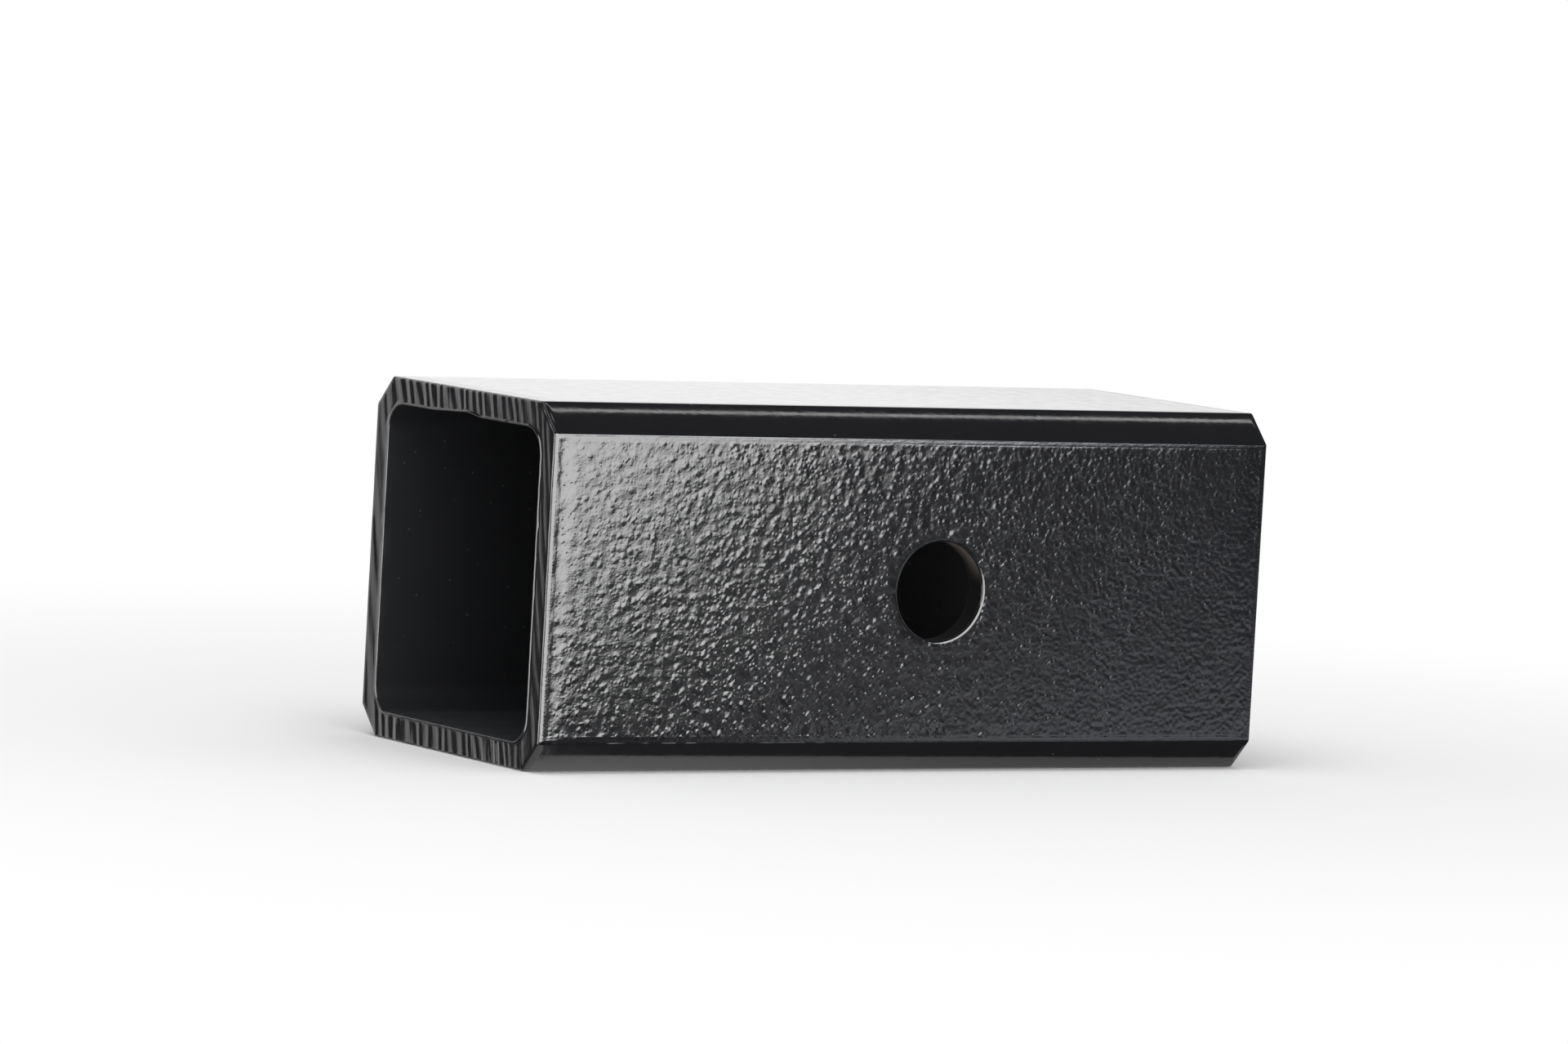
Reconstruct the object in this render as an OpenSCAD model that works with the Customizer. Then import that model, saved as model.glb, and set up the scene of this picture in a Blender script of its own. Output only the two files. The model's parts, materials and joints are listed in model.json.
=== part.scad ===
// Square reducer sleeve for a towing receiver.
// A short length of heavy square steel tube lines a large receiver, so that a smaller shank fits it.
// A flat runs along each outside corner, and one pin goes through both side walls.
// X runs along the tube, Z is up, and the origin is where the pin's axis crosses the tube's axis.
// All sizes are in millimetres.

/* [Tube] */
// Length of the sleeve from end to end
tube_length = 146; // [120:1:320]
// Width and height of the section over its flat faces
tube_width = 63.5; // [50:0.5:90]
// Thickness of the four walls
wall = 4.76; // [3.5:0.01:8]
// Radius of the four inside corners
inside_corner_r = 4.8; // [2:0.1:7]

/* [Outside corners] */
// Leg of the flat that runs along each outside corner
corner_flat = 5.2; // [3:0.1:6]
// Radius of the crease between a corner flat and a face
crease_r = 0.7; // [0.4:0.1:2]

/* [Ends] */
// Radius that the coated outer edge of each sawn end is rounded to
end_edge_r = 0.5; // [0.3:0.1:1.5]
// Leg of the bevel round the inner edge of each end
mouth_bevel = 0.5; // [0.2:0.1:1.5]

/* [Pin hole] */
// Diameter of the hole through both side walls
pin_hole_d = 17.5; // [12:0.1:24]
// Distance from the middle of the pin hole to the rear end
pin_to_rear = 67; // [25:1:95]
// Leg of the bevel round the outer edge of the pin hole
pin_hole_bevel = 0.4; // [0.2:0.1:1.5]

/* [Weld track] */
// Width of the scarfed weld track along the inside of the top wall
track_width = 17; // [8:0.5:24]
// Depth of the track below the inside face
track_depth = 0.6; // [0.2:0.1:1.5]
// Width of the steeper flank on one side of the track
track_flank = 5; // [1:0.5:7]
// Distance from the middle of the wall to the deepest line of the track
track_offset = 1.2; // [0:0.1:4]

/* [Hidden] */
$fn = 96;
// How far a cut runs past the face that it opens
over = 2;
// Width of the opening between opposite walls
opening_width = tube_width - 2 * wall;
// Ends of the tube along X
front_x = pin_to_rear - tube_length;
rear_x = pin_to_rear;
middle_x = (front_x + rear_x) / 2;
// Width over two opposite corner flats
width_over_flats = (tube_width - corner_flat) * sqrt(2);

// Corners of a centred square, counter-clockwise
function square_corners(width) =
    let (half = width / 2) [[half, half], [-half, half], [-half, -half], [half, -half]];

// Corners of a centred square that has a flat across each of its own corners
function flatted_corners(width, flat) =
    let (half = width / 2, inner = half - flat)
    [[half, inner], [inner, half], [-inner, half], [-half, inner],
     [-half, -inner], [-inner, -half], [inner, -half], [half, -inner]];

// Unit vector from one point to the next
function direction(from, to) = (to - from) / norm(to - from);

// A convex counter-clockwise outline with every corner rounded by a true arc
module rounded_outline(corners, radius) {
    count = len(corners);
    along = [for (i = [0 : count - 1]) direction(corners[i], corners[(i + 1) % count])];
    turn = 360 / count;
    setback = radius * tan(turn / 2);
    // Where the arc of each corner leaves the two edges that meet there
    arc_start = [for (i = [0 : count - 1]) corners[i] - setback * along[(i + count - 1) % count]];
    arc_end = [for (i = [0 : count - 1]) corners[i] + setback * along[i]];
    polygon([for (i = [0 : count - 1]) each [arc_start[i], arc_end[i]]]);
    for (i = [0 : count - 1]) {
        inward = [-along[i].y, along[i].x];
        translate(arc_end[i] + radius * inward) circle(r = radius);
    }
}

// Extrude a section, drawn with its own X as Y and its own Y as Z, between two places along X
module along_tube(from_x, to_x)
    translate([from_x, 0, 0]) rotate([90, 0, 90]) linear_extrude(to_x - from_x) children();

// Outer body: the flatted section, and round it four slabs that round the edges of both ends
module outer_body() {
    slab_reach = tube_width * 2;
    intersection() {
        along_tube(front_x, rear_x)
            rounded_outline(flatted_corners(tube_width, corner_flat), crease_r);
        end_slab(0, tube_width, slab_reach);
        end_slab(90, tube_width, slab_reach);
        end_slab(45, width_over_flats, slab_reach);
        end_slab(135, width_over_flats, slab_reach);
    }
}

// A slab with rounded end edges, whose two large faces lie on one pair of opposite flats
module end_slab(angle, thickness, reach) {
    half_l = tube_length / 2 - end_edge_r;
    half_t = thickness / 2 - end_edge_r;
    translate([middle_x, 0, 0]) rotate([angle, 0, 0]) rotate([90, 0, 0])
        linear_extrude(reach, center = true) {
            square([tube_length, 2 * half_t], center = true);
            square([2 * half_l, thickness], center = true);
            for (x = [-half_l, half_l], y = [-half_t, half_t]) translate([x, y]) circle(r = end_edge_r);
        }
}

// The square opening that the shank slides through, with rounded corners and the weld track
module opening() {
    along_tube(front_x - over, rear_x + over) {
        rounded_outline(square_corners(opening_width), inside_corner_r);
        translate([-track_offset, opening_width / 2]) track_section();
    }
    translate([front_x, 0, 0]) mouth();
    translate([rear_x, 0, 0]) mirror([1, 0, 0]) mouth();
}

// Section of the weld track: one long gentle side, and one short steeper flank
module track_section()
    polygon([[-track_flank, 0], [0, track_depth], [track_width - track_flank, 0], [0, -wall / 2]]);

// Bevel round the opening at an end that faces -X: four straight sides and a cone at each corner
module mouth() {
    half = opening_width / 2;
    corner = half - inside_corner_r;
    // The bevel is drawn past the end, so that the cut leaves no skin there
    flare = mouth_bevel + over;
    for (angle = [0, 90]) rotate([angle, 0, 0])
        rotate([90, 0, 0]) linear_extrude(2 * corner, center = true)
            polygon([[-over, -half - flare], [mouth_bevel, -half],
                     [mouth_bevel, half], [-over, half + flare]]);
    for (y = [-corner, corner], z = [-corner, corner])
        translate([-over, y, z]) rotate([0, 90, 0])
            cylinder(r1 = inside_corner_r + flare, r2 = inside_corner_r, h = flare);
}

// The hole for the hitch pin, through both side walls, with its outer edges bevelled
module pin_hole() {
    rotate([90, 0, 0]) cylinder(d = pin_hole_d, h = tube_width + 2 * over, center = true);
    for (side = [0, 180])
        rotate([90, 0, side]) translate([0, 0, tube_width / 2 - pin_hole_bevel])
            cylinder(d1 = pin_hole_d, d2 = pin_hole_d + 2 * (pin_hole_bevel + over),
                     h = pin_hole_bevel + over);
}

module sleeve() {
    color([0.09, 0.09, 0.1])
        difference() {
            outer_body();
            opening();
            pin_hole();
        }
}

sleeve();
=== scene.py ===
"""Looks of the hitch reducer sleeve: its coated surfaces, the floor, the light and the camera.

The sleeve is one closed mesh, made on a grid that follows the section round and runs along the tube.
Lengths in this script are in millimetres, and become metres when an object is made.
"""

import json
import math

import bmesh
import bpy
import numpy as np
from mathutils import Matrix, Vector, noise


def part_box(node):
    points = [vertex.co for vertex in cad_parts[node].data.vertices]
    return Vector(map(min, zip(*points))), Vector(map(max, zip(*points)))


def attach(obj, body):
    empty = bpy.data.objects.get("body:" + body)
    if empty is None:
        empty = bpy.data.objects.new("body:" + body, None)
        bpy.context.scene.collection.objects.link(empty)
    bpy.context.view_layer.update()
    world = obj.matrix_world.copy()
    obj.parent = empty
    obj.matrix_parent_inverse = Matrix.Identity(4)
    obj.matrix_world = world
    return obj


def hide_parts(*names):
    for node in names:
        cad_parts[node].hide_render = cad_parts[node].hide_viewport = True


MM = 0.001
X, Y, Z = 0, 1, 2

# Sizes of the tube that the frame doesn't give
WALL = 4.76
INSIDE_CORNER_R = 4.8
CORNER_FLAT = 5.2
CREASE_R = 0.7
END_EDGE_R = 0.5
PIN_EDGE_R = 0.35
PIN_INNER_EDGE_R = 0.25
TRACK_WIDTH = 17.0
TRACK_DEPTH = 0.6
TRACK_FLANK = 5.0
TRACK_OFFSET = 1.2

# The coat in the mesh: a smooth rim along the flats' edges that is rounded over, low lumps and
# pebbles that appear between these distances from the rim, corner flats that are a little domed,
# and inside walls that are a little uneven
RIM_WIDTH = 0.7
RIM_DROP = 0.05
LUMP_HEIGHT = 0.012
LUMP_LENGTH = 2.6
FINE_LUMP_SHARE = 0.35
FINE_LUMP_LENGTH = 1.56
PEBBLES_APPEAR = (-0.2, 0.3)
CORNER_CROWN = 0.17
INSIDE_WAVE = 0.05
INSIDE_WAVE_LENGTH = 6.0
INSIDE_PEBBLE = 0.35

# The groove behind each end's rim: its depth, the distances from the end over which it starts and
# fades, and the distances from the flat's other edges over which it starts
END_GROOVE = 0.075
END_GROOVE_START = (0.3, 1.15)
END_GROOVE_FADE = (1.25, 4.0)
END_GROOVE_SIDES = (0.3, 1.0)

# The lip round each opening, from the sawn face to the inside wall, as pairs of a distance out from
# that wall and a height over the face. Its crest reaches the CAD's end, so the face lies behind that
# end, and the inside wall starts a little behind the face. The lip's width wavers by a share
LIP = ((0.6, 0.0), (0.48, 0.02), (0.38, 0.06), (0.28, 0.1),
       (0.2, 0.11), (0.12, 0.1), (0.05, 0.05), (0.01, -0.03))
LIP_CREST = 0.11
LIP_DEPTH = 0.15
LIP_WAVER = 0.35
LIP_WAVER_LENGTH = 1.7

# The saw's marks on the ends: their steepness, the share of their height that is in the mesh, how far
# they lean, the distance between them at the left side (+y) and the right, and how much calmer they
# are near both sides, starting and full at these distances from a side
SAW_SLOPE = 0.06
SAW_CUT = 0.6
SAW_LEAN = 0.22
SAW_PITCH_LEFT = 3.7
SAW_PITCH_RIGHT = 2.3
SAW_CALM = 0.55
SAW_CALM_FROM = 5.25
SAW_CALM_TO = 3.25

# The pin hole: the flat ring outside its rounded edge, the distances from that ring over which the
# pebbles appear, and, as degrees from +x towards +z, where that edge keeps its gloss and where a
# brown grey is painted on the hole's wall as painted light
PIN_RING = 0.1
PIN_PEBBLES_APPEAR = (0.05, 0.5)
PIN_GLOSS_AT = -45.0
PIN_PAINTED_LIGHT_AT = 60.0

# The grid of the mesh: distances from an edge that get a row of their own, half the width of the
# square patch round the pin hole and its rings, the steps elsewhere, how many loops of the outside
# pass for one inside, and the steps of the corners and the ends
EDGE_STEPS = (0.0, 0.2, 0.4, 0.6, 0.8, 1.05, 1.4, 1.9)
PATCH_HALF = 13.0
PATCH_STEPS = 32
PATCH_RINGS = 6
PATCH_EASE = 0.4
FLAT_STEP = 0.8
LENGTH_STEP = 0.95
INNER_SKIP = 6
CREASE_STEPS = 3
CORNER_STEPS = 7
END_RINGS = 6
END_EDGE_ANGLES = (22.5, 45.0, 67.5)

# What each point of the mesh tells the material: how far the pebbles show, how far it lies from the
# flat's edge, at most EDGE_REACH and below 0 on the ends, how high the saw's marks are and where in
# them it lies, whether it is inside, which is DEEP_INSIDE on the pin hole's wall, where painted shade
# darkens it, and how much painted light lies on that wall
MARKS = ("pebble", "edge", "saw", "saw_phase", "inside", "thin")
EDGE_REACH = 4.0
DEEP_INSIDE = 1.6

# Round dots in the coat: cells in a mm, a dot's radius in cells, and the share of cells with a dot
LARGE_BUMPS = (0.58, 0.48, 0.9)
SMALL_BUMPS = (1.0, 0.48, 0.9)
NIBS = (0.9, 0.3, 0.4)
SPECKS = (0.37, 0.15, 0.5)
PALE_SPECKS = (0.3, 0.07, 0.2)
DUST = (0.5, 0.15, 0.5)

# Stretches over which the coat changes: along x, with some lean for the first, and along y for the
# saw's streaks. The coat is softest at the top of the front end
SOFT_END = (-90.0, -40.0)
SOFT_END_LEAN = 0.4
TO_REAR = (-10.0, 40.0)
NIBS_TO_REAR = (-20.0, 40.0)
WRINKLES_TO_REAR = (-79.0, 20.0)
HAZE_TO_REAR = (-20.0, 60.0)
GROOVE_FROM_END = (-77.6, -75.6)
GROOVE_TO_REAR = (0.0, 60.0)
SAW_STREAKS_ACROSS = (-20.0, 12.0)

# Heights of the relief in the material. A pair holds the height at both ends of a stretch, the least
# and the most for the nibs, and the flats' edges and the ends' for the teeth
LARGE_BUMP_HEIGHT = 0.036
SMALL_BUMP_HEIGHT = 0.018
GRAIN_HEIGHT = (0.018, 0.055)
SWELL_HEIGHT = (0.06, 0.03)
WRINKLE_HEIGHT = (0.012, 0.005)
NIB_HEIGHT = (0.008, 0.026)
SPECK_HEIGHT = (0.035, 0.018)
PEEL_HEIGHT = 0.005
GROOVE_DEPTH = 0.03
TEETH_HEIGHT = (0.03, 0.09)

# How high the broad and the fine streaks of the ends are, as a share of the saw's marks, at the
# right and at the left
BROAD_STREAKS = (0.0, 2.4)
FINE_STREAKS = (3.4, 0.8)

# The pebbles fade on the top face, between these heights in the frame, to this share
TOP_FACE = (30.0, 31.5)
TOP_FACE_SHARE = 0.2

# Colours of the coat, its roughness, and what the pebbles, the sawn ends, the edges and the inside
# add to that
COAT_COLORS = ((0.0088, 0.0091, 0.0106), (0.0120, 0.0123, 0.0140))
PALE_SPECK_COLOR = (0.2, 0.2, 0.2)
INSIDE_COLOR = (0.0105, 0.011, 0.0125)
DUST_COLOR = (0.06, 0.058, 0.055)
# Painted shade: the near-black that darkens the pin hole's wall
HOLE_PAINTED_SHADE_COLOR = (0.004, 0.004, 0.004)
# Painted light: a brown grey on the upper part of the pin hole's wall
HOLE_PAINTED_LIGHT_COLOR = (0.16, 0.138, 0.125)
ROUGHNESS = (0.055, 0.085)
PEBBLE_HAZE = (0.045, 0.085)
SAWN_HAZE = 0.06
EDGE_HAZE = 0.06
INSIDE_HAZE = 0.42

# The camera, as the photograph saw the sleeve
VIEW_AZIMUTH = -31.19
VIEW_ELEVATION = 4.4
VIEW_ROLL = 3.2
VIEW_DISTANCE = 1671.0
VIEW_AIM = (-1.26, 20.0, 7.27)
LENS = 214.4
SENSOR_W = 36.0

# The key card: how far its slanted edge leans, where it is dark and bright across that edge, how
# bright it is, how bright its upper part is, and its least brightness
KEY_LEAN = 1.83
KEY_SLANT = (358.0, 236.0)
KEY_STRENGTH = 14.0
KEY_TOP_STRENGTH = 12.5
KEY_FLOOR = 0.05

# Where the key card changes along x, from dark to bright: its right edge, its main part, which is a
# little dimmer than a band at that edge, its dim left part, and the right edge of its upper part
KEY_RIGHT = (345.0, 188.0)
KEY_MAIN = (205.0, 245.0)
KEY_MAIN_SHARE = 0.86
KEY_LEFT = (-560.0, -300.0)
KEY_LEFT_SHARE = 0.35
KEY_TOP_RIGHT = (415.0, 310.0)

# Where the key card's upper part appears along z, and the haze low at its right: its brightness, and
# where it appears along z and along x
KEY_TOP_FROM = (40.0, 150.0)
KEY_HAZE = 1.5
KEY_HAZE_FROM = (-35.0, -125.0)
KEY_HAZE_LEFT = (250.0, 315.0)

# The key card's cold grey at the right, and where it turns white
KEY_TINT = (0.93, 0.97, 1.06)
KEY_TINT_RIGHT = (400.0, 260.0)

# The backdrop card: where it gets brighter upwards, from what to what, and its soft left edge
BACKDROP_RISE = (-50.0, 60.0)
BACKDROP_STRENGTH = (0.97, 1.3)
BACKDROP_LEFT = (-602.0, -548.0)

# The card below: where it gets dimmer to the right, from what to what, and its shore, a slanted line
# before which it is dim
UNDER_FADE = (200.0, 340.0)
UNDER_STRENGTH = (0.95, 0.52)
SHORE_FROM = 220.0
SHORE_SLOPE = 0.25
SHORE_EDGE = (4.0, 14.0)
SHORE_DIM = 0.09

# The world's brightness in reflections, to the camera, and what matt surfaces get on top
ROOM_DIM = 0.08
ROOM_WHITE = 1.0
ROOM_FILL = 0.5

# The floor: its colour, half its width, and how far off it turns plain white to the camera
FLOOR_COLOR = (0.93, 0.93, 0.93, 1.0)
FLOOR_HALF = 4000.0
FLOOR_FADE = (90.0, 330.0)


class Grid:
    """Vertices and faces of one mesh, gathered as loops and sheets of vertex numbers."""

    def __init__(self):
        self.points = []
        self.marks = []
        self.faces = []

    def add(self, points, **marks):
        """Adds points of any array shape, with their marks, and returns their numbers in that shape."""
        points = np.asarray(points, float)
        shape = points.shape[:-1]
        first = sum(len(p) for p in self.points)
        self.points.append(points.reshape(-1, 3))
        mark = np.stack([np.broadcast_to(marks.get(name, 0.0), shape) for name in MARKS], axis=-1)
        self.marks.append(mark.reshape(-1, len(MARKS)))
        count = int(np.prod(shape))
        return np.arange(first, first + count).reshape(shape)

    def sheet(self, rows, closed=False, holes=()):
        """Quads between successive rows of numbers. A hole is a (row, row, column, column) range."""
        rows = np.asarray(rows)
        if closed:
            rows = np.concatenate([rows, rows[:, :1]], axis=1)
        keep = np.ones((rows.shape[0] - 1, rows.shape[1] - 1), bool)
        for r0, r1, c0, c1 in holes:
            keep[r0:r1, c0:c1] = False
        quads = np.stack([rows[:-1, :-1], rows[:-1, 1:], rows[1:, 1:], rows[1:, :-1]], axis=-1)
        self.faces.append(quads[keep].reshape(-1, 4))

    def build(self, name):
        """Makes the Blender object, in metres, with its face normals pointing out."""
        points = np.concatenate(self.points) * MM
        faces = np.concatenate(self.faces)
        mesh = bpy.data.meshes.new(name)
        mesh.from_pydata(points.tolist(), [], faces.tolist())
        marks = np.concatenate(self.marks)
        for column, mark in enumerate(MARKS):
            data = mesh.attributes.new(mark, "FLOAT", "POINT")
            data.data.foreach_set("value", marks[:, column].astype(np.float32))
        mesh.polygons.foreach_set("use_smooth", [True] * len(faces))
        mesh.validate()
        turned = bmesh.new()
        turned.from_mesh(mesh)
        bmesh.ops.recalc_face_normals(turned, faces=turned.faces)
        turned.to_mesh(mesh)
        turned.free()
        mesh.update()
        obj = bpy.data.objects.new(name, mesh)
        bpy.context.scene.collection.objects.link(obj)
        return obj


def spaced(start, end, step):
    """Evenly spaced values from start to end, no further apart than step."""
    return np.linspace(start, end, max(2, int(math.ceil(abs(end - start) / step)) + 1))


def graded(low, high, step):
    """Values from low to high, fine at both edges and even over the patch round the pin hole."""
    edge = np.array(EDGE_STEPS)
    left = spaced(low + edge[-1], -PATCH_HALF, step)
    middle = np.linspace(-PATCH_HALF, PATCH_HALF, PATCH_STEPS + 1)
    right = spaced(PATCH_HALF, high - edge[-1], step)
    return np.concatenate([low + edge[:-1], left[:-1], middle[:-1], right[:-1], high - edge[::-1]])


def smooth_step(value, low, high):
    """0 below low, 1 above high, and a smooth rise between."""
    t = np.clip((np.asarray(value, float) - low) / (high - low), 0.0, 1.0)
    return t * t * (3.0 - 2.0 * t)


def noise_at(points, length, seed):
    """Smooth noise of about -1 to 1 at each point, whose lumps are about length across."""
    shift = Vector((seed * 17.3, seed * 5.1, seed * 11.7))
    flat = np.asarray(points).reshape(-1, 3) / length
    values = [noise.noise(Vector(p) + shift) for p in flat]
    return np.array(values).reshape(np.asarray(points).shape[:-1])


class Section:
    """The outside and inside outlines of the tube, as matching loops of (y, z) points."""

    def __init__(self, half_width):
        self.half = half_width
        self.inner_half = half_width - WALL
        setback = CREASE_R * math.tan(math.radians(22.5))
        self.flat_half = half_width - CORNER_FLAT - setback
        self.inner_flat_half = self.inner_half - INSIDE_CORNER_R
        self.rows = graded(-self.flat_half, self.flat_half, FLAT_STEP)
        self.outer, self.normal, self.inner, self.inner_normal = [], [], [], []
        self.edge, self.crown = [], []
        for side in range(4):
            self.add_flat(side)
            self.add_corner(side)
        for name in ("outer", "normal", "inner", "inner_normal", "edge", "crown"):
            setattr(self, name, np.array(getattr(self, name)))
        self.count = len(self.outer)
        self.per_side = self.count // 4

    def put(self, side, outer, normal, inner, inner_normal, edge, crown=0.0):
        """Adds one point of both loops, drawn for the side that faces +Y and turned to its own side."""
        turn = math.radians(90 * side)
        c, s = math.cos(turn), math.sin(turn)
        for store, (y, z) in ((self.outer, outer), (self.normal, normal),
                              (self.inner, inner), (self.inner_normal, inner_normal)):
            store.append((c * y - s * z, s * y + c * z))
        self.edge.append(edge)
        self.crown.append(crown)

    def inner_row(self, row):
        """The inside wall's place for a row of the outside: the same over the patch, closer beyond."""
        if abs(row) <= PATCH_HALF:
            return row
        share = (abs(row) - PATCH_HALF) / (self.flat_half - PATCH_HALF)
        return math.copysign(PATCH_HALF + share * (self.inner_flat_half - PATCH_HALF), row)

    def add_flat(self, side):
        for row in self.rows:
            self.put(side, (self.half, row), (1, 0), (self.inner_half, self.inner_row(row)), (-1, 0),
                     self.flat_half - abs(row))

    def add_corner(self, side):
        """Crease arc, corner flat and crease arc, matched to the arc of the inside corner."""
        start = Vector((self.half - CREASE_R, self.flat_half))
        end = Vector((self.flat_half, self.half - CREASE_R))
        steps = []
        for i in range(1, CREASE_STEPS + 1):
            steps.append((start, 45.0 * i / CREASE_STEPS, 0.0))
        for i in range(1, CORNER_STEPS):
            share = i / CORNER_STEPS
            steps.append((start.lerp(end, share), 45.0, 4 * share * (1 - share)))
        for i in range(CREASE_STEPS):
            steps.append((end, 45.0 + 45.0 * i / CREASE_STEPS, 0.0))
        centre = self.inner_flat_half
        for i, (middle, angle, crown) in enumerate(steps):
            a = math.radians(angle)
            b = math.radians(90.0 * (i + 1) / (len(steps) + 1))
            out = (math.cos(a), math.sin(a))
            inn = (math.cos(b), math.sin(b))
            self.put(side, (middle.x + CREASE_R * out[0], middle.y + CREASE_R * out[1]), out,
                     (centre + INSIDE_CORNER_R * inn[0], centre + INSIDE_CORNER_R * inn[1]),
                     (-inn[0], -inn[1]), -1.0, crown)

    def track(self):
        """How far the weld track lies behind the inside face, for each point of the inside loop."""
        y, z = self.inner[:, 0], self.inner[:, 1]
        from_line = y + TRACK_OFFSET
        rise = np.interp(from_line, [-TRACK_FLANK, 0.0, TRACK_WIDTH - TRACK_FLANK], [0.0, TRACK_DEPTH, 0.0])
        return np.where(z > self.inner_half - 0.01, rise, 0.0)


def ring(x, yz):
    """A loop of (y, z) points at one place along the tube, or at one place for each point."""
    yz = np.asarray(yz)
    return np.concatenate([np.broadcast_to(np.reshape(x, (-1, 1)), (len(yz), 1)), yz], axis=1)


def rim_profile(distance):
    """Height of the coat's rim, which is rounded over towards the edge."""
    return -RIM_DROP * np.clip(1 - distance / RIM_WIDTH, 0, 1) ** 2


def pebbles(points, distance):
    """Height of the coat's low lumps at each point, and how far the pebbles show there."""
    shown = smooth_step(distance - RIM_WIDTH, *PEBBLES_APPEAR)
    lumps = noise_at(points, LUMP_LENGTH, 1) + FINE_LUMP_SHARE * noise_at(points, FINE_LUMP_LENGTH, 2)
    return LUMP_HEIGHT * lumps * shown, shown


def saw_marks(points, half):
    """Phase and height of the saw's marks on an end. They run up it, waver, and get closer together."""
    across = (half - points[..., 1] + SAW_LEAN * points[..., 2]) / (2 * half)
    left, right = 1 / SAW_PITCH_LEFT, 1 / SAW_PITCH_RIGHT
    cycles = 2 * half * (left * across + (right - left) * across ** 2 / 2)
    drift = 0.9 * noise_at(points * [0, 1, 0.3], 9.0, 3) + 0.5 * noise_at(points * [0, 1, 0.2], 3.2, 4)
    pitch = 1 / (left + (right - left) * np.clip(across, 0, 1))
    calm = SAW_CALM * smooth_step(abs(points[..., 1]), half - SAW_CALM_FROM, half - SAW_CALM_TO)
    uneven = (1 + 0.9 * noise_at(points * [0, 1, 0.4], 5.0, 8)) * (1 - calm)
    return 2 * math.pi * (cycles + drift), SAW_SLOPE * pitch / (2 * math.pi) * uneven


def outer_sheet(grid, section, stations):
    """The outside between the rounded end edges. Returns its numbers, one loop for each station."""
    base = np.stack([ring(x, section.outer) for x in stations])
    normal = ring(0.0, section.normal)[None]
    from_end = np.minimum(stations - stations[0], stations[-1] - stations)[:, None]
    from_side = section.edge[None, :]
    on_flat = from_side >= 0
    distance = np.where(on_flat, np.minimum(from_side, from_end), 0.0)
    height, shown = pebbles(base, distance)
    groove = smooth_step(from_end, *END_GROOVE_START) * (1 - smooth_step(from_end, *END_GROOVE_FADE))
    groove = groove * smooth_step(from_side, *END_GROOVE_SIDES) * (0.9 + 0.4 * noise_at(base, 3.0, 12))
    flat = rim_profile(distance) - END_GROOVE * groove
    corner = CORNER_CROWN * section.crown[None, :] * smooth_step(from_end, 0.0, RIM_WIDTH) - RIM_DROP
    height = height + np.where(on_flat, flat, corner)
    return grid.add(base + height[..., None] * normal, pebble=np.where(on_flat, shown, 0.0),
                    saw_phase=saw_marks(base, section.half)[0],
                    edge=np.where(on_flat, np.minimum(distance, EDGE_REACH), EDGE_REACH))


def inner_sheet(grid, section, stations):
    """The inside walls, with the weld track. Returns its numbers, one loop for each station."""
    base = np.stack([ring(x, section.inner) for x in stations])
    normal = ring(0.0, section.inner_normal)[None]
    wave = INSIDE_WAVE * noise_at(base * [0.3, 1, 1], INSIDE_WAVE_LENGTH, 6)
    height = wave - section.track()[None, :]
    return grid.add(base + height[..., None] * normal, pebble=INSIDE_PEBBLE, inside=1.0)


def sawn_loop(grid, section, points, inward, share, edge):
    """Cuts a share of the saw's marks into a loop of points on an end. Returns the loop's numbers."""
    phase, swing = saw_marks(points, section.half)
    swing = swing * share
    points[:, 0] += inward * (SAW_CUT * swing * (1 - np.sin(phase)))
    return grid.add(points, saw=swing, saw_phase=phase, edge=edge)


def end_cap(grid, section, x_end, inward, outer_loop, inner_loop):
    """Closes one end: the rounded outer edge, the sawn face, and the raised lip round the opening."""
    face = x_end + inward * LIP_CREST
    shrink = section.outer - END_EDGE_R * section.normal
    lift = np.concatenate(grid.points)[outer_loop][:, 1:] - section.outer
    rows = [outer_loop]
    for angle in END_EDGE_ANGLES:
        a = math.radians(angle)
        x = x_end + inward * (END_EDGE_R * (1 - math.sin(a)) + LIP_CREST * math.sin(a))
        points = ring(x, shrink + (END_EDGE_R * section.normal + lift) * math.cos(a))
        rows.append(sawn_loop(grid, section, points, inward, math.sin(a), -a))
    inside = section.inner - section.track()[:, None] * section.inner_normal
    lip_foot = inside - LIP[0][0] * section.inner_normal
    for i in range(END_RINGS + 1):
        share = i / END_RINGS
        points = ring(face, shrink * (1 - share) + lip_foot * share)
        rows.append(sawn_loop(grid, section, points, inward, min(1.0, 0.5 + 4 * (1 - share)), -2.0))
    for across, rise in LIP[1:]:
        points = ring(face - inward * rise, inside)
        waver = 1 + LIP_WAVER * noise_at(points, LIP_WAVER_LENGTH, 9)
        points = points - ring(0.0, section.inner_normal) * (across * waver)[:, None]
        rows.append(grid.add(points, saw_phase=saw_marks(points, section.half)[0], edge=-2.0))
    rows.append(inner_loop)
    grid.sheet(np.stack(rows), closed=True)


def square_loop(sheet, r0, r1, c0, c1):
    """The numbers round a rectangular patch of a sheet, counter-clockwise from its first corner."""
    return np.concatenate([sheet[r0, c0:c1], sheet[r0:r1, c1], sheet[r1, c1:c0:-1], sheet[r1:r0:-1, c0]])


def circle_loop(y, radius, angles):
    """Points of a circle round the pin's axis, one at each angle."""
    return np.stack([radius * np.cos(angles), np.full(len(angles), y), radius * np.sin(angles)], axis=-1)


def ring_share(step):
    """How far a patch's ring lies from its edge to the circle, from 0 to 1, and closer at both ends."""
    low, full = smooth_step((0.0, 1.0), -PATCH_EASE, 1 + PATCH_EASE)
    return (smooth_step(step / PATCH_RINGS, -PATCH_EASE, 1 + PATCH_EASE) - low) / (full - low)


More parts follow.
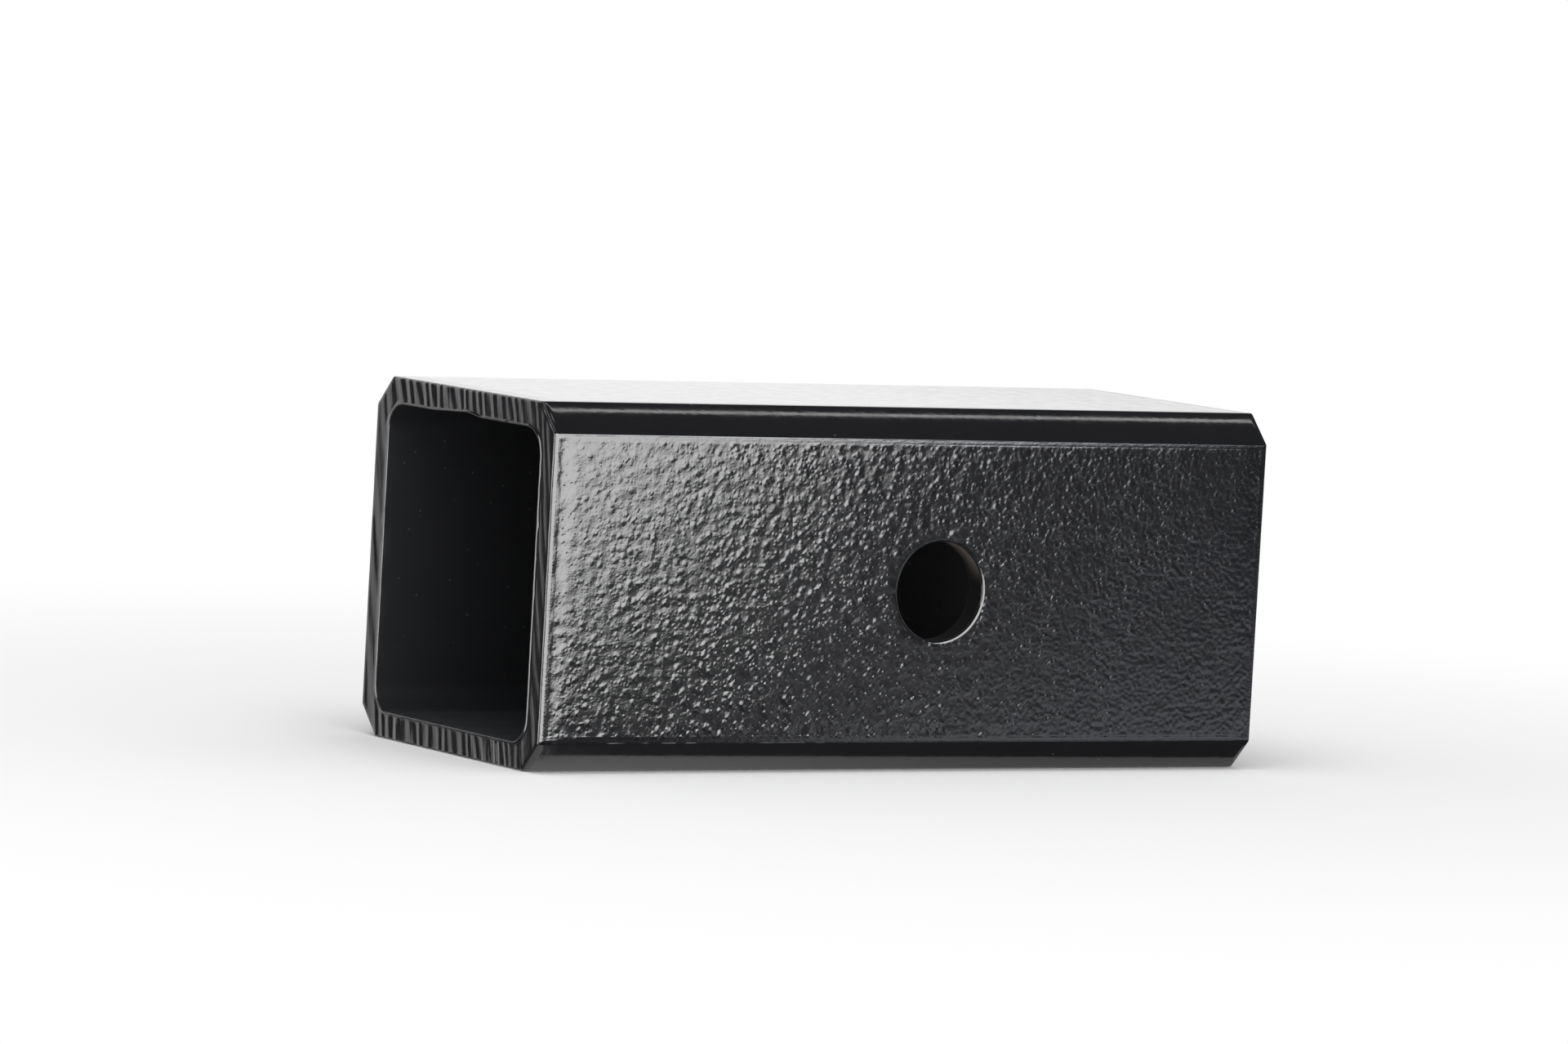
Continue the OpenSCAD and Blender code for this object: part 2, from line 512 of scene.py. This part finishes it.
def patch_rings(grid, boundary, circle, outside):
    """Rings between a square patch's edge and a circle in the same face. Returns all the loops."""
    edge = np.concatenate(grid.points)[boundary]
    loops = [boundary]
    for i in range(1, PATCH_RINGS):
        share = ring_share(i)
        points = edge * (1 - share) + circle * share
        from_circle = np.linalg.norm(points - circle, axis=1)
        points[:, 1] = circle[:, 1]
        if outside:
            shown = smooth_step(from_circle, *PIN_PEBBLES_APPEAR)
            height, _ = pebbles(points, EDGE_REACH)
            points[:, 1] += np.sign(circle[0, 1]) * height * shown
            loops.append(grid.add(points, pebble=shown, edge=EDGE_REACH))
        else:
            loops.append(grid.add(points, pebble=INSIDE_PEBBLE, inside=1.0, edge=EDGE_REACH))
    return loops


def pin_hole(grid, section, side, radius, outer, inner, patch_outer, patch_inner):
    """One wall's pin hole: the patches round it outside and inside, its rounded edges and its wall."""
    sign = 1 if side == 0 else -1
    face = sign * section.half
    back = sign * section.inner_half
    loop_out = square_loop(outer, *patch_outer)
    loop_in = square_loop(inner, *patch_inner)
    angles = loop_angles(grid, loop_out)
    dull = 1 - 0.95 * smooth_step(np.cos(angles - math.radians(PIN_GLOSS_AT)), 0.3, 0.6)
    # Painted light: how much brown grey is painted on the hole's wall, most on its upper part
    thin = smooth_step(np.cos(angles - math.radians(PIN_PAINTED_LIGHT_AT)), 0.6, 1.0)

    circle = circle_loop(face, radius + PIN_EDGE_R + PIN_RING, angles)
    rows = patch_rings(grid, loop_out, circle, outside=True)
    rows.append(grid.add(circle, pebble=0.6, edge=EDGE_REACH))
    for angle in (0.0, 22.5, 45.0, 67.5, 90.0):
        a = math.radians(angle)
        y = face - sign * PIN_EDGE_R * (1 - math.cos(a))
        points = circle_loop(y, radius + PIN_EDGE_R * (1 - math.sin(a)), angles)
        rows.append(grid.add(points, pebble=0.3 * math.cos(a), inside=dull * math.sin(a), edge=EDGE_REACH))
    # The hole's wall: painted shade all over, and painted light on its upper part that fades deeper in
    for share in (0.1, 0.4, 0.8):
        y = face - sign * (PIN_EDGE_R + share * (WALL - PIN_EDGE_R - PIN_INNER_EDGE_R))
        points = circle_loop(y, radius, angles)
        rows.append(grid.add(points, inside=DEEP_INSIDE, thin=thin * (1 - share)))
    for angle in (0.0, 45.0, 90.0):
        a = math.radians(angle)
        y = back + sign * PIN_INNER_EDGE_R * (1 - math.sin(a))
        points = circle_loop(y, radius + PIN_INNER_EDGE_R * (1 - math.cos(a)), angles)
        rows.append(grid.add(points, inside=DEEP_INSIDE))
    circle = circle_loop(back, radius + PIN_INNER_EDGE_R, angles)
    inside = patch_rings(grid, loop_in, circle, outside=False)
    grid.sheet(np.stack(rows + inside[::-1]), closed=True)


def loop_angles(grid, loop):
    """Even angles round the pin's axis that start at a patch loop's first corner and follow its turn."""
    points = np.concatenate(grid.points)[loop]
    first, later = points[0], points[len(loop) // 8]
    turn = 1 if first[0] * later[2] - first[2] * later[0] > 0 else -1
    start = math.atan2(first[2], first[0])
    return start + turn * np.arange(len(loop)) * 2 * math.pi / len(loop)


def nearest(places, value):
    """The number of the place that lies nearest to a value."""
    return int(np.argmin(abs(places - value)))


def make_sleeve(low, high, pin_radius):
    """The whole sleeve as one closed mesh, in the frame of the CAD node."""
    grid = Grid()
    section = Section(high[1])
    front, rear = low[0], high[0]
    stations = graded(front + END_EDGE_R, rear - END_EDGE_R, LENGTH_STEP)
    outer = outer_sheet(grid, section, stations)
    c0, c1 = nearest(stations, -PATCH_HALF), nearest(stations, PATCH_HALF)
    last = len(stations) - 1
    kept = [i for i in range(last + 1) if c0 <= i <= c1 or i % INNER_SKIP == 0 or i == last]
    inner_x = stations[kept].copy()
    inner_x[0] = front + LIP_CREST + LIP_DEPTH
    inner_x[-1] = rear - LIP_CREST - LIP_DEPTH
    inner = inner_sheet(grid, section, inner_x)
    i0, i1 = kept.index(c0), kept.index(c1)
    r0, r1 = nearest(section.rows, -PATCH_HALF), nearest(section.rows, PATCH_HALF)
    outer_holes, inner_holes = [], []
    for side in (0, 2):
        shift = side * section.per_side
        outer_holes.append((c0, c1, r0 + shift, r1 + shift))
        inner_holes.append((i0, i1, r0 + shift, r1 + shift))
        pin_hole(grid, section, side, pin_radius, outer, inner, outer_holes[-1], inner_holes[-1])
    grid.sheet(outer, closed=True, holes=outer_holes)
    grid.sheet(inner, closed=True, holes=inner_holes)
    end_cap(grid, section, front, 1, outer[0], inner[0])
    end_cap(grid, section, rear, -1, outer[-1], inner[-1])
    return grid.build("coated_sleeve")


class Nodes:
    """A short way to write a node tree."""

    def __init__(self, tree):
        self.tree = tree
        self.tree.nodes.clear()

    def new(self, kind, inputs=None, **settings):
        """A node with its settings. An input takes a number or another node's socket."""
        node = self.tree.nodes.new(kind)
        for name, value in settings.items():
            setattr(node, name, value)
        for name, value in (inputs or {}).items():
            socket = node.inputs[name]
            if isinstance(value, bpy.types.NodeSocket):
                self.tree.links.new(value, socket)
            else:
                socket.default_value = value
        return node

    def math(self, operation, a, b=0.0):
        """One operation on one or two values, each a number or a socket."""
        return self.new("ShaderNodeMath", {0: a, 1: b}, operation=operation).outputs[0]

    def total(self, first, *others):
        """The sum of its values."""
        for value in others:
            first = self.math("ADD", first, value)
        return first

    def product(self, first, *others):
        """Its values multiplied together."""
        for value in others:
            first = self.math("MULTIPLY", first, value)
        return first

    def mark(self, name):
        """One of the numbers that each point of the mesh carries."""
        return self.new("ShaderNodeAttribute", attribute_name=name).outputs["Fac"]

    def stretched(self, vector, factors):
        """A vector, with each of its three numbers multiplied by its own factor."""
        return self.new("ShaderNodeVectorMath", {0: vector, 1: factors}, operation="MULTIPLY").outputs[0]

    def place(self):
        """The point on the surface, in millimetres of the frame."""
        return self.stretched(self.new("ShaderNodeTexCoord").outputs["Object"], (1 / MM,) * 3)

    def axes(self, vector):
        """A vector's three numbers."""
        return self.new("ShaderNodeSeparateXYZ", {0: vector}).outputs

    def mix_color(self, share, first, second):
        """A colour between two others, each an RGB triple or a socket."""
        full = [c if isinstance(c, bpy.types.NodeSocket) else (*c, 1.0) for c in (first, second)]
        return self.new("ShaderNodeMix", {0: share, 6: full[0], 7: full[1]}, data_type="RGBA").outputs[2]

    def noise(self, vector, scale, detail=0.0, rough=0.5):
        """Smooth noise from 0 to 1, with about scale features in a mm."""
        settings = {"Vector": vector, "Scale": scale, "Detail": detail, "Roughness": rough}
        return self.new("ShaderNodeTexNoise", settings).outputs["Fac"]

    def dots(self, vector, scale, radius, chance):
        """Sparse round dots: 1 in the middle of a dot, 0 outside, with chance as their share of cells."""
        cells = self.new("ShaderNodeTexVoronoi", {"Vector": vector, "Scale": scale})
        near = self.ramp(cells.outputs["Distance"], radius, 0.0)
        tone = self.new("ShaderNodeSeparateColor", {0: cells.outputs["Color"]})
        chosen = self.math("LESS_THAN", tone.outputs[0], chance)
        return self.product(near, chosen)

    def ramp(self, value, low, high, to_low=0.0, to_high=1.0):
        """Maps value from low..high to to_low..to_high, clamped, with smooth ends."""
        limits = {"Value": value, "From Min": low, "From Max": high, "To Min": to_low, "To Max": to_high}
        node = self.new("ShaderNodeMapRange", limits, interpolation_type="SMOOTHSTEP", clamp=True)
        return node.outputs["Result"]


def coat_relief(n, place, pebble):
    """Height of the pebbled coat, which is softer at the front end and faint on the top face."""
    along, _, up = n.axes(place)
    slant = n.math("SUBTRACT", along, n.product(up, SOFT_END_LEAN))
    depth = n.ramp(n.noise(place, 0.06, 2.0), 0.35, 0.65, 0.8, 1.15)
    depth = n.product(n.ramp(slant, *SOFT_END, 0.32, 1.0), depth)
    large = n.product(n.dots(place, *LARGE_BUMPS), LARGE_BUMP_HEIGHT, n.ramp(along, *TO_REAR, 1.0, 0.45))
    small = n.product(n.dots(place, *SMALL_BUMPS), SMALL_BUMP_HEIGHT)
    grains = n.product(n.noise(place, 1.2), n.ramp(along, *TO_REAR, *GRAIN_HEIGHT))
    coarse = n.product(n.total(large, small, grains), depth)
    swells = n.product(n.noise(place, 0.5), n.ramp(along, *TO_REAR, *SWELL_HEIGHT))
    swells = n.product(swells, n.ramp(slant, *SOFT_END, 0.7, 1.0))
    wrinkles = n.product(n.noise(place, 3.0, 1.0), n.ramp(along, *WRINKLES_TO_REAR, *WRINKLE_HEIGHT))
    nib_height = n.ramp(n.noise(place, 0.3, 1.0), 0.4, 0.6, *NIB_HEIGHT)
    nib_height = n.product(nib_height, n.ramp(along, *NIBS_TO_REAR, 1.0, 0.35))
    nibs = n.product(n.dots(place, *NIBS), nib_height)
    specks = n.product(n.dots(place, *SPECKS), n.ramp(along, *NIBS_TO_REAR, *SPECK_HEIGHT))
    shown = n.product(pebble, n.ramp(up, *TOP_FACE, 1.0, TOP_FACE_SHARE))
    return n.product(n.total(coarse, swells, wrinkles, nibs, specks), shown)


def groove_relief(n, place, edge):
    """Height of the groove that runs beside the flats' rims, patchy and shallower to the rear."""
    along = n.axes(place)[X]
    wander = n.product(n.math("SUBTRACT", n.noise(place, 0.8, 1.0), 0.5), 0.4)
    near = n.total(edge, wander)
    groove = n.product(n.ramp(near, 0.4, 1.2), n.ramp(near, 3.8, 1.2))
    patchy = n.ramp(n.noise(place, 0.3, 1.0), 0.35, 0.65, 0.5, 1.2)
    depth = n.ramp(along, *GROOVE_TO_REAR, -GROOVE_DEPTH, -0.3 * GROOVE_DEPTH)
    fading = n.product(n.ramp(along, *GROOVE_FROM_END, 0.3, 0.65), depth)
    return n.product(groove, n.product(patchy, fading))


def teeth_relief(n, place, edge, near_edge):
    """Height of the fine teeth along the rims, which are higher on the ends' rounded edges."""
    upright = n.stretched(place, (0.35, 0.5, 1.0))
    teeth = n.math("SUBTRACT", n.noise(upright, 2.2, 2.0, 0.6), 0.5)
    return n.product(teeth, n.product(near_edge, n.ramp(edge, 0.0, -0.3, *TEETH_HEIGHT)))


def saw_relief(n, place, saw, phase):
    """Height of the saw's marks: the mesh's waves again, with broad streaks and fine ones on them."""
    _, sideways, up = n.axes(place)
    leaning = n.math("SUBTRACT", sideways, n.product(up, SAW_LEAN))
    across = n.new("ShaderNodeCombineXYZ", {1: leaning, 2: n.product(up, 0.07)}).outputs[0]
    broad = n.product(n.noise(across, 0.5, 1.0), n.ramp(sideways, *SAW_STREAKS_ACROSS, *BROAD_STREAKS))
    fine = n.product(n.noise(across, 1.0, 3.0, 0.6), n.ramp(sideways, *SAW_STREAKS_ACROSS, *FINE_STREAKS))
    waves = n.math("SINE", phase)
    return n.product(n.total(waves, n.total(broad, fine)), saw)


def coat_color(n, place, inside, hole_shade, thin):
    """Nearly black, with pale specks outside, dust inside, painted shade on the pin hole's wall, and a
    brown grey painted light on the upper part of that wall.
    """
    outer = n.mix_color(n.noise(place, 0.05, 3.0, 0.6), *COAT_COLORS)
    outer = n.mix_color(n.dots(place, *PALE_SPECKS), outer, PALE_SPECK_COLOR)
    dusty = n.mix_color(n.dots(place, *DUST), INSIDE_COLOR, DUST_COLOR)
    color = n.mix_color(inside, outer, dusty)
    color = n.mix_color(hole_shade, color, HOLE_PAINTED_SHADE_COLOR)
    return n.mix_color(thin, color, HOLE_PAINTED_LIGHT_COLOR)


def coat_roughness(n, place, pebble, saw, inside, near_edge):
    """Glossy, a little hazier over the pebbles, the sawn ends and the edges, and dull inside."""
    along = n.axes(place)[X]
    rough = n.ramp(n.noise(place, 0.35, 2.0), 0.3, 0.7, *ROUGHNESS)
    haze = n.product(pebble, n.ramp(along, *HAZE_TO_REAR, *PEBBLE_HAZE))
    sawn = n.ramp(saw, 0.0, 0.01, 0.0, SAWN_HAZE)
    return n.total(rough, haze, sawn, n.product(near_edge, EDGE_HAZE), n.product(inside, INSIDE_HAZE))


def coat_material():
    """Gloss black powder coat: pebbled, pitted and specked on the flats, ridged on the sawn ends."""
    material = bpy.data.materials.new("gloss_black_powder_coat")
    material.use_nodes = True
    n = Nodes(material.node_tree)
    place = n.place()
    pebble, edge, saw, phase, inside, thin = (n.mark(name) for name in MARKS)
    near_edge = n.ramp(n.math("ABSOLUTE", edge), 1.0, 0.3)
    # Painted shade on the pin hole's wall: its colour turns near-black there and its gloss is weaker
    hole_shade = n.ramp(inside, 1.0, DEEP_INSIDE)

    peel = n.product(n.noise(place, 0.9, 1.0), PEEL_HEIGHT)
    relief = n.total(coat_relief(n, place, pebble), groove_relief(n, place, edge),
                     teeth_relief(n, place, edge, near_edge))
    height = n.total(relief, saw_relief(n, place, saw, phase), peel)
    bump = n.new("ShaderNodeBump", {"Height": height, "Strength": 1.0, "Distance": MM})
    specular = n.product(n.ramp(inside, 0.0, 1.0, 0.5, 0.12), n.ramp(hole_shade, 0.0, 1.0, 1.0, 0.3))
    shader = n.new("ShaderNodeBsdfPrincipled", {
        "Base Color": coat_color(n, place, inside, hole_shade, thin),
        "Roughness": coat_roughness(n, place, pebble, saw, inside, near_edge),
        "Specular IOR Level": specular,
        "IOR": 1.5,
        "Normal": bump.outputs[0],
    })
    n.new("ShaderNodeOutputMaterial", {"Surface": shader.outputs[0]})
    return material


def sheet_object(name, corners, material):
    """A flat four-cornered stage piece, whose object coordinates are the frame's own."""
    mesh = bpy.data.meshes.new(name)
    mesh.from_pydata([tuple(np.array(c) * MM) for c in corners], [], [(0, 1, 2, 3)])
    mesh.materials.append(material)
    obj = bpy.data.objects.new(name, mesh)
    bpy.context.scene.collection.objects.link(obj)
    return obj


def card(name, axis, at, span_a, span_b, glow, soft=60.0, tint=None):
    """A lit card that shows only in reflections. It stands across one axis, at a place along it, and
    spans two ranges on the other two axes, with soft edges. glow and tint make its brightness and its
    colour from x, y and z in mm."""
    others = [i for i in range(3) if i != axis]
    corners = []
    for a, b in ((0, 0), (1, 0), (1, 1), (0, 1)):
        corner = [at, at, at]
        corner[others[0]] = span_a[a]
        corner[others[1]] = span_b[b]
        corners.append(corner)
    material = bpy.data.materials.new(name)
    material.use_nodes = True
    material.cycles.emission_sampling = "NONE"
    n = Nodes(material.node_tree)
    axes = n.axes(n.place())
    strength = glow(n, *axes)
    for i, span in zip(others, (span_a, span_b)):
        middle, half = (span[0] + span[1]) / 2, (span[1] - span[0]) / 2
        away = n.math("ABSOLUTE", n.math("SUBTRACT", axes[i], middle))
        strength = n.product(strength, n.ramp(away, half, half - soft))
    color = tint(n, *axes) if tint else (1.0, 1.0, 1.0, 1.0)
    light = n.new("ShaderNodeEmission", {"Color": color, "Strength": strength})
    n.new("ShaderNodeOutputMaterial", {"Surface": light.outputs[0]})
    obj = sheet_object(name, corners, material)
    obj.visible_camera = False
    obj.visible_diffuse = False
    obj.visible_shadow = False


def even(strength):
    """The glow of a card that is equally bright all over."""
    return lambda n, x, y, z: strength


def key_glow(n, x, y, z):
    """A large soft key light, whose lower right side falls off along a slant, over a dim haze."""
    slant = n.math("SUBTRACT", x, n.product(z, KEY_LEAN))
    lit = n.product(n.ramp(slant, *KEY_SLANT, 0.0, KEY_STRENGTH), n.ramp(x, *KEY_RIGHT),
                    n.ramp(x, *KEY_MAIN, KEY_MAIN_SHARE, 1.0), n.ramp(x, *KEY_LEFT, KEY_LEFT_SHARE, 1.0))
    top = n.product(n.ramp(z, *KEY_TOP_FROM, 0.0, KEY_TOP_STRENGTH), n.ramp(x, *KEY_TOP_RIGHT))
    haze = n.product(n.ramp(z, *KEY_HAZE_FROM, 0.0, KEY_HAZE), n.ramp(x, *KEY_HAZE_LEFT))
    return n.total(n.math("MAXIMUM", lit, top), haze, KEY_FLOOR)


def key_tint(n, x, y, z):
    """White where the key light is bright, and a cold grey beyond its right side."""
    return n.mix_color(n.ramp(x, *KEY_TINT_RIGHT), KEY_TINT, (1.0, 1.0, 1.0))


def backdrop_glow(n, x, y, z):
    """The white backdrop, brighter in its upper part, with its left edge beside what the end reflects."""
    return n.product(n.ramp(z, *BACKDROP_RISE, *BACKDROP_STRENGTH), n.ramp(x, *BACKDROP_LEFT))


def under_glow(n, x, y, z):
    """What the lower corners reflect: a pale ground with a slanted shore, and dimmer to the right."""
    shore = n.math("SUBTRACT", y, n.product(n.math("SUBTRACT", x, SHORE_FROM), SHORE_SLOPE))
    return n.product(n.ramp(x, *UNDER_FADE, *UNDER_STRENGTH), n.ramp(shore, *SHORE_EDGE, SHORE_DIM, 1.0))


def make_cards():
    """What the gloss reflects: a key light in front, a white backdrop, and dim cards all round."""
    card("key_card", Y, -532.0, (-720, 800), (-300, 900), key_glow, soft=120.0, tint=key_tint)
    card("backdrop_card", Y, 900.0, (-640, 1700), (-420, 900), backdrop_glow)
    card("strip_card", Z, 900.0, (250, 800), (-35, 15), even(4.0), soft=15.0)
    card("under_card", Z, -500.0, (-600, 900), (-100, 800), under_glow, soft=10.0)
    card("under_corner_card", Z, -499.0, (-600, 191), (-200, 40), even(1.0), soft=5.0)
    card("left_card", X, -900.0, (-200, 560), (-400, 400), even(8.0))
    card("right_card", X, 950.0, (-150, 450), (-300, 450), even(2.0))
    card("overhead_card", Z, 950.0, (-600, 60), (-300, 400), even(2.0))


def make_world():
    """White to the camera, a pale fill to matt surfaces, and a dim room in reflections."""
    world = bpy.data.worlds.new("studio")
    bpy.context.scene.world = world
    world.use_nodes = True
    n = Nodes(world.node_tree)
    path = n.new("ShaderNodeLightPath")
    to_camera = n.product(path.outputs["Is Camera Ray"], ROOM_WHITE - ROOM_DIM)
    to_matt = n.product(path.outputs["Is Diffuse Ray"], ROOM_FILL)
    strength = n.total(ROOM_DIM, to_camera, to_matt)
    light = n.new("ShaderNodeBackground", {"Color": (1, 1, 1, 1), "Strength": strength})
    n.new("ShaderNodeOutputWorld", {"Surface": light.outputs[0]})


def make_floor(z):
    """A plain pale floor that the sleeve lies on. It is left out of reflections."""
    material = bpy.data.materials.new("pale_floor")
    material.use_nodes = True
    n = Nodes(material.node_tree)
    away = n.new("ShaderNodeVectorMath", {0: n.place()}, operation="LENGTH").outputs["Value"]
    matt = n.new("ShaderNodeBsdfDiffuse", {"Color": FLOOR_COLOR})
    white = n.new("ShaderNodeEmission", {"Color": (1, 1, 1, 1), "Strength": 1.0})
    camera = n.new("ShaderNodeLightPath").outputs["Is Camera Ray"]
    share = n.product(n.ramp(away, *FLOOR_FADE), camera)
    mixed = n.new("ShaderNodeMixShader", {0: share, 1: matt.outputs[0], 2: white.outputs[0]})
    n.new("ShaderNodeOutputMaterial", {"Surface": mixed.outputs[0]})
    h = FLOOR_HALF
    floor = sheet_object("floor", [(-h, -h, z), (h, -h, z), (h, h, z), (-h, h, z)], material)
    floor.visible_glossy = False


def make_lamp(name, place, width, watts):
    """A soft square lamp, turned to the middle, that lights matt surfaces and casts soft shadows."""
    data = bpy.data.lights.new(name, "AREA")
    data.shape = "SQUARE"
    data.size = width * MM
    data.energy = watts
    lamp = bpy.data.objects.new(name, data)
    bpy.context.scene.collection.objects.link(lamp)
    lamp.location = Vector(place) * MM
    lamp.rotation_euler = (-Vector(place)).to_track_quat("-Z", "Y").to_euler()
    lamp.visible_glossy = False


def make_camera():
    """The camera at the photograph's angle, with its long lens and its slight roll."""
    a, e = math.radians(VIEW_AZIMUTH), math.radians(VIEW_ELEVATION)
    back = Vector((math.sin(a) * math.cos(e), -math.cos(a) * math.cos(e), math.sin(e)))
    data = bpy.data.cameras.new("camera")
    data.sensor_fit = "HORIZONTAL"
    data.sensor_width = SENSOR_W
    data.lens = LENS
    data.clip_start, data.clip_end = 0.05, 50.0
    camera = bpy.data.objects.new("camera", data)
    bpy.context.scene.collection.objects.link(camera)
    camera.location = (Vector(VIEW_AIM) + back * VIEW_DISTANCE) * MM
    upright = (-back).to_track_quat("-Z", "Y").to_matrix()
    camera.rotation_euler = (upright @ Matrix.Rotation(math.radians(VIEW_ROLL), 3, "Z")).to_euler()
    bpy.context.scene.camera = camera


with open("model.json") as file:
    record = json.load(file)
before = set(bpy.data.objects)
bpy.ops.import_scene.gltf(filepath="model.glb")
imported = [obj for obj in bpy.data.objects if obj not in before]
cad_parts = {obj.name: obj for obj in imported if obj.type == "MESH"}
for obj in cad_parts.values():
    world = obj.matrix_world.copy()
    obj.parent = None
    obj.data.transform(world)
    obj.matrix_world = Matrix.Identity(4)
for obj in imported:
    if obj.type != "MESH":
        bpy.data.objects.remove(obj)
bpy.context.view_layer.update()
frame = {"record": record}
low, high = (np.array(corner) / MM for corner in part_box("sleeve"))
pin = next(m for m in frame["record"]["mounts"] if m["name"] == "pin_bore")

make_camera()
sleeve = make_sleeve(low, high, pin["dims"]["r_mm"])
sleeve.data.materials.append(coat_material())
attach(sleeve, "root")
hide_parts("sleeve")

make_world()
make_floor(low[2])
make_cards()
make_lamp("overhead", place=(-300, -500, 1500), width=1400, watts=14.0)
bpy.context.scene.view_settings.view_transform = "Standard"
